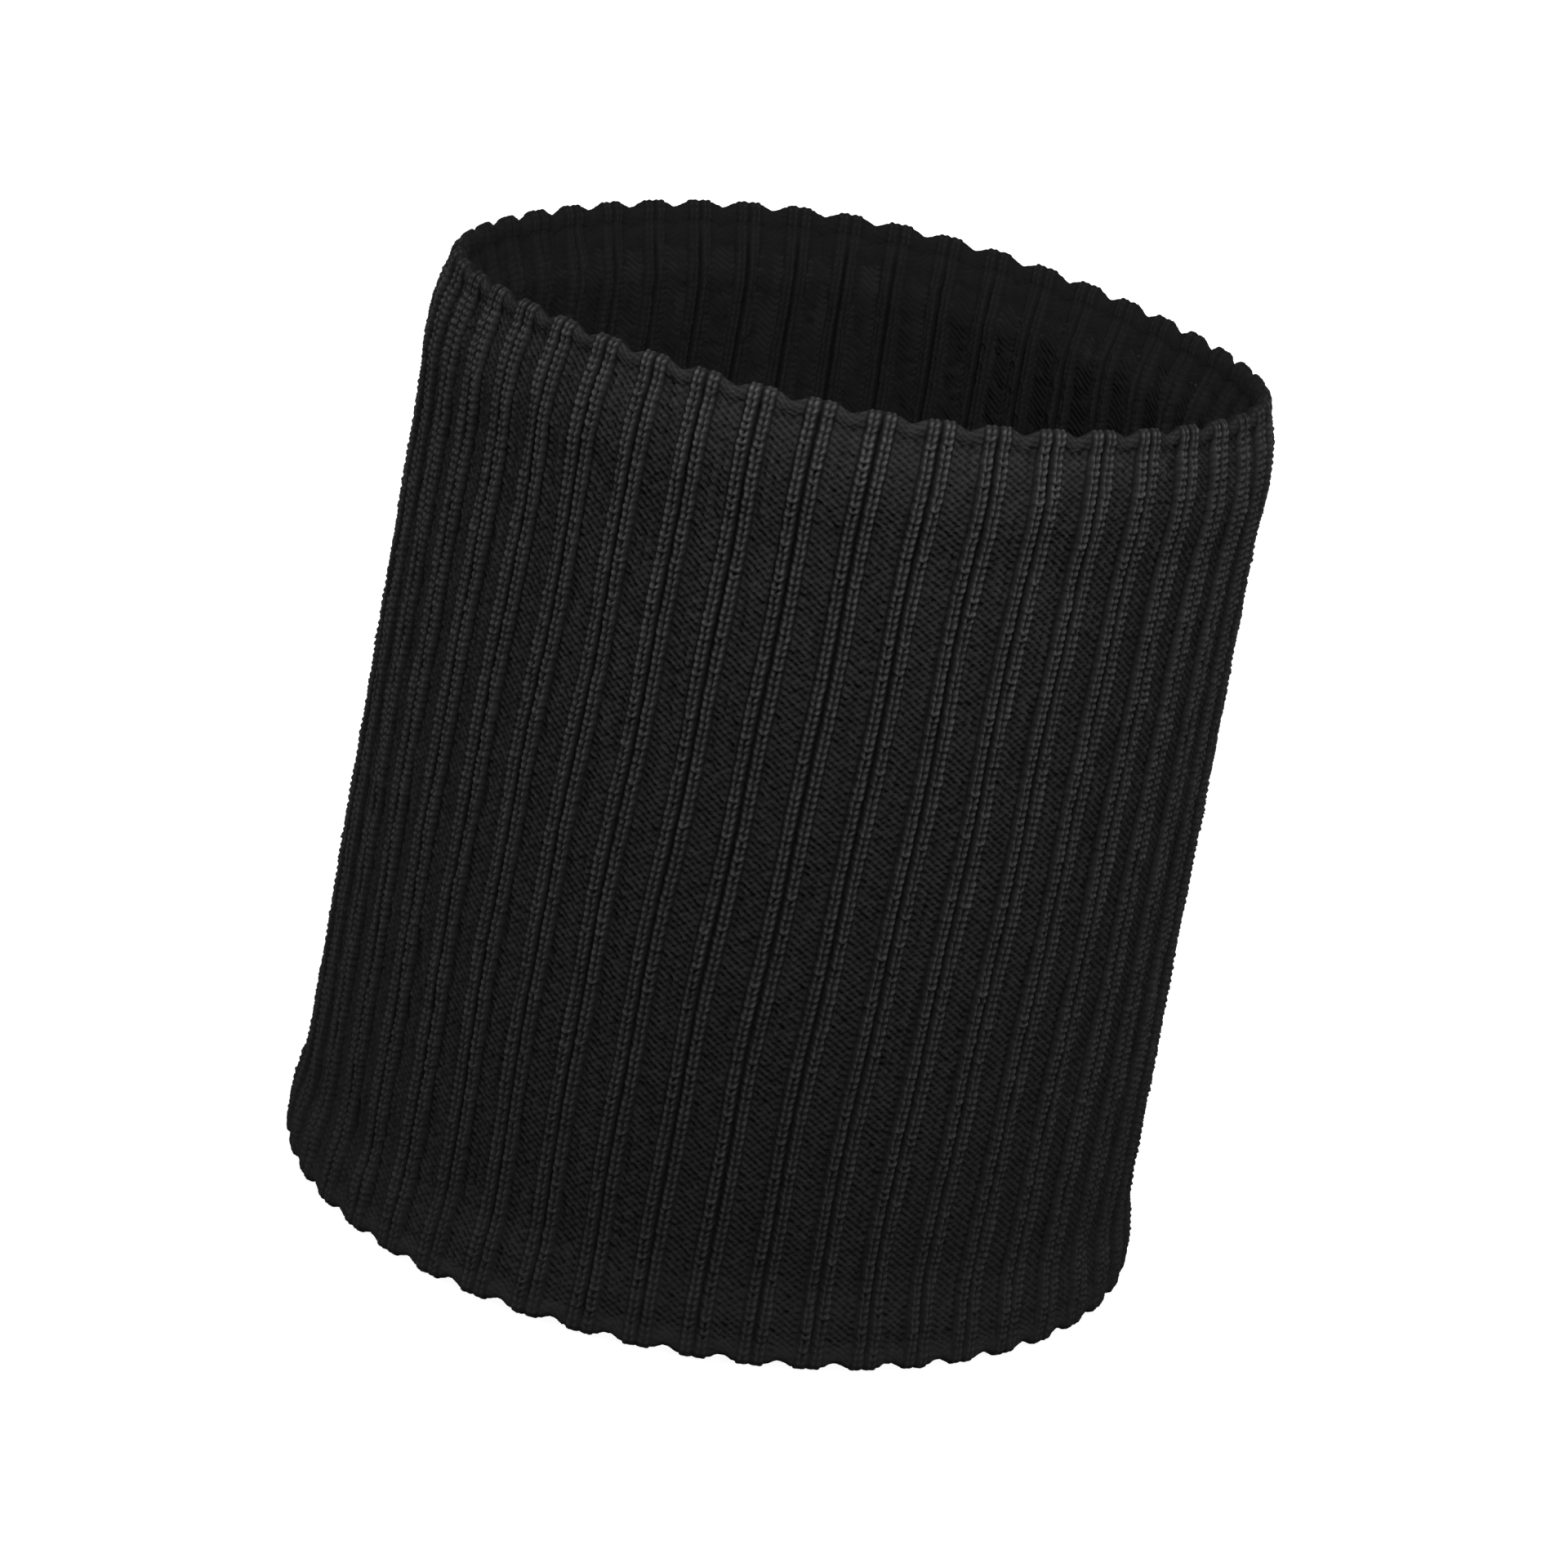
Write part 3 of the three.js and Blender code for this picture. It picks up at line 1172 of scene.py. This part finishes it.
class YarnGroups:
    """The node groups that every yarn material shares.

    A Mix node has a set of sockets for each kind of value, so its colour sockets are found by number.
    """

    mix_first: int = 6
    mix_second: int = 7
    mix_result: int = 2
    noise_middle: float = 0.5

    def __init__(self) -> None:
        """Builds both groups."""
        self.tone = self._tone()
        self.fibres = self._fibres()

    @staticmethod
    def _socket(tree: bpy.types.NodeTree, name: str, kind: str, out: bool = False) -> None:
        """Adds a socket to a group's interface."""
        side = "OUTPUT" if out else "INPUT"
        tree.interface.new_socket(name=name, in_out=side, socket_type=f"NodeSocket{kind}")

    def _tone(self) -> bpy.types.NodeTree:
        """The yarn's colour with painted light and shade: darkened to a painted-shade colour in gaps, painted
        brighter on crests, and mottled all over.

        Returns:
            The node group.
        """
        tree = bpy.data.node_groups.new("YarnTone", "ShaderNodeTree")
        for kind, names in (("Color", ("Yarn", "Painted Shade")), ("Float", ("Painted Light", "Mottle", "Scale"))):
            for name in names:
                self._socket(tree, name, kind)
        self._socket(tree, "Place", "Vector")
        self._socket(tree, "Colour", "Color", out=True)
        given, made = tree.nodes.new("NodeGroupInput"), tree.nodes.new("NodeGroupOutput")
        noise = tree.nodes.new("ShaderNodeTexNoise")
        noise.inputs["Detail"].default_value = 3
        centred, scaled, reached = (tree.nodes.new("ShaderNodeMath") for _ in range(3))
        centred.operation, scaled.operation, reached.operation = "SUBTRACT", "MULTIPLY", "MULTIPLY_ADD"
        centred.inputs[1].default_value = self.noise_middle
        mix = tree.nodes.new("ShaderNodeMix")
        mix.data_type = "RGBA"
        # Factors past 1 paint highlights brighter than the yarn's own tone.
        mix.clamp_factor = False
        link = tree.links.new
        link(given.outputs["Place"], noise.inputs["Vector"])
        link(given.outputs["Scale"], noise.inputs["Scale"])
        link(noise.outputs["Fac"], centred.inputs[0])
        link(centred.outputs[0], scaled.inputs[0])
        link(given.outputs["Mottle"], scaled.inputs[1])
        link(given.outputs["Painted Light"], reached.inputs[0])
        link(scaled.outputs[0], reached.inputs[1])
        link(given.outputs["Painted Light"], reached.inputs[2])
        link(reached.outputs[0], mix.inputs["Factor"])
        link(given.outputs["Painted Shade"], mix.inputs[self.mix_first])
        link(given.outputs["Yarn"], mix.inputs[self.mix_second])
        link(mix.outputs[self.mix_result], made.inputs["Colour"])
        return tree

    def _fibres(self) -> bpy.types.NodeTree:
        """The fine relief of spun fibres.

        Returns:
            The node group.
        """
        tree = bpy.data.node_groups.new("YarnFibres", "ShaderNodeTree")
        self._socket(tree, "Scale", "Float")
        self._socket(tree, "Place", "Vector")
        self._socket(tree, "Height", "Float", out=True)
        given, made = tree.nodes.new("NodeGroupInput"), tree.nodes.new("NodeGroupOutput")
        noise = tree.nodes.new("ShaderNodeTexNoise")
        noise.inputs["Detail"].default_value = 2
        noise.inputs["Roughness"].default_value = 0.6
        link = tree.links.new
        link(given.outputs["Place"], noise.inputs["Vector"])
        link(given.outputs["Scale"], noise.inputs["Scale"])
        link(noise.outputs["Fac"], made.inputs["Height"])
        return tree


# ---- The studio ----


@dataclass(frozen=True)
class Softbox:
    """A square soft light that faces the band."""

    name: str
    place: tuple[float, float, float]
    size: float
    watts: float

    def light(self, target: Vector) -> None:
        """Hangs the light and turns it to the target.

        Args:
            target: The point that the light faces.
        """
        lamp = bpy.data.lights.new(self.name, "AREA")
        lamp.shape = "SQUARE"
        lamp.size = self.size
        lamp.energy = self.watts
        box = bpy.data.objects.new(self.name, lamp)
        box.location = self.place
        box.rotation_mode = "QUATERNION"
        box.rotation_quaternion = (target - Vector(self.place)).to_track_quat("-Z", "Y")
        box.visible_camera = False
        bpy.context.collection.objects.link(box)


@dataclass
class Studio:
    """A plain white floor in soft light, and the camera."""

    shape: BandShape
    floor_size: float = 6.0
    floor_tone: float = 0.2
    floor_glow: float = 0.95
    sky: float = 0.3
    seen_sky: float = 1.0
    lens: float = 110.8
    sensor: float = 36.0
    camera_distance: float = 310 * MM
    camera_above_middle: float = 101.4 * MM
    aim_below_middle: float = 1.91 * MM
    roll: float = math.radians(10.3)
    lights: tuple[Softbox, ...] = (
        Softbox("key_softbox", (0.01, -0.095, 0.165), 0.06, 0.36),
        Softbox("front_softbox", (0.3, -1.2, 0.6), 1.2, 2.4),
        Softbox("left_softbox", (-1.0, -0.1, 0.16), 0.3, 5.2),
        Softbox("right_softbox", (1.0, -0.1, 0.16), 0.3, 3.0),
        Softbox("back_softbox", (0.1, 0.9, 0.16), 0.3, 14.0),
    )

    def build(self) -> None:
        """Sets up the floor, the sky, the lights and the camera."""
        middle = Vector((0, 0, self.shape.height / 2))
        self._floor()
        self._sky()
        for softbox in self.lights:
            softbox.light(middle)
        self._camera(middle)
        bpy.context.scene.view_settings.view_transform = "Standard"

    def _floor(self) -> None:
        """A seamless floor that looks white to the camera but throws little light up at the band."""
        bpy.ops.object.select_all(action="DESELECT")
        bpy.ops.mesh.primitive_plane_add(size=self.floor_size)
        floor = bpy.context.object
        floor.name = "studio_floor"
        material = bpy.data.materials.new("pale_floor")
        material.use_nodes = True
        shader = material.node_tree.nodes["Principled BSDF"]
        shader.inputs["Base Color"].default_value = grey(self.floor_tone)
        shader.inputs["Roughness"].default_value = 0.9
        shader.inputs["Specular IOR Level"].default_value = 0.1
        shader.inputs["Emission Color"].default_value = grey(1)
        seen = material.node_tree.nodes.new("ShaderNodeLightPath")
        glow = material.node_tree.nodes.new("ShaderNodeMath")
        glow.operation = "MULTIPLY"
        glow.inputs[1].default_value = self.floor_glow
        material.node_tree.links.new(seen.outputs["Is Camera Ray"], glow.inputs[0])
        material.node_tree.links.new(glow.outputs[0], shader.inputs["Emission Strength"])
        floor.data.materials.append(material)

    def _sky(self) -> None:
        """Even white light from all round, dimmer than it looks to the camera."""
        world = bpy.data.worlds.new("studio_sky")
        bpy.context.scene.world = world
        world.use_nodes = True
        tree = world.node_tree
        background = tree.nodes["Background"]
        background.inputs["Color"].default_value = grey(1)
        seen = tree.nodes.new("ShaderNodeLightPath")
        strength = tree.nodes.new("ShaderNodeMapRange")
        strength.inputs["To Min"].default_value = self.sky
        strength.inputs["To Max"].default_value = self.seen_sky
        tree.links.new(seen.outputs["Is Camera Ray"], strength.inputs["Value"])
        tree.links.new(strength.outputs["Result"], background.inputs["Strength"])

    def _camera(self, middle: Vector) -> None:
        """Stands the camera in front of the band, above its top rim, and rolls it so that the band leans.

        Args:
            middle: The middle of the band.
        """
        lens = bpy.data.cameras.new("camera")
        lens.sensor_width = self.sensor
        lens.lens = self.lens
        camera = bpy.data.objects.new("camera", lens)
        camera.location = middle + Vector((0, -self.camera_distance, self.camera_above_middle))
        turn = self._facing(middle - camera.location)
        aim = middle - turn @ Vector((0, self.aim_below_middle, 0))
        camera.rotation_mode = "QUATERNION"
        camera.rotation_quaternion = self._facing(aim - camera.location)
        bpy.context.collection.objects.link(camera)
        bpy.context.scene.camera = camera

    def _facing(self, direction: Vector) -> Quaternion:
        """The rolled camera's turn when it looks along a direction."""
        return direction.to_track_quat("-Z", "Y") @ Quaternion((0, 0, 1), self.roll)


# ---- The wristband ----


def main() -> None:
    """Builds the wristband and its studio."""
    shape = BandShape.from_frame()
    groups = YarnGroups()
    face = YarnFinish("black_face_yarn", tone=0.030, painted_shade_tone=0.0015)
    lining = YarnFinish("black_lining_yarn", tone=0.030, painted_shade_tone=0.0015)
    seam = YarnFinish("black_seam_thread", tone=0.017, painted_shade_tone=0.004, roughness=0.8)
    elastic = YarnFinish("black_covered_elastic", tone=0.02, painted_shade_tone=0.005, roughness=0.6, reads_painted_light=False)
    layers = (
        KnitLayer(
            name="face_knit",
            layer=Layer.FACE,
            slot="face_knit",
            shape=shape,
            path=FoldPath.face(shape),
            knit=RibKnit(),
            sectors=(6, 6, 6, 6, 6, 6, 5, 5),
            material=face.material(groups.tone, groups.fibres),
            # Painted shade: the face is painted darker past the crown of the top rim, on the inside.
            fold_shade=0.46,
            back_lines=4,
        ),
        KnitLayer(
            name="lining_knit",
            layer=Layer.LINING,
            slot="lining_knit",
            shape=shape,
            path=FoldPath.lining(shape),
            knit=LiningKnit(),
            sectors=(23, 23),
            material=lining.material(groups.tone, groups.fibres),
            thickness=0.55 * MM,
            fold_thickness=0.55 * MM,
            fold_reach=(0.5 * MM, 0.5 * MM),
            # Painted shade: the whole lining is painted darker, as the inside of the band lies in shade, and
            # its painted stitch shading is evened out.
            shade=0.46,
            fold_shade=0.46,
            evenness=0.65,
        ),
    )
    for layer in layers:
        layer.build()
        layer.fit()
    chain = ClosingSeam(shape, seam.material(groups.tone, groups.fibres))
    chain.build()
    chain.fit()
    ElasticThreads(elastic.material(groups.tone, groups.fibres)).dress()
    Studio(shape).build()


if __name__ == "__main__":
    main()
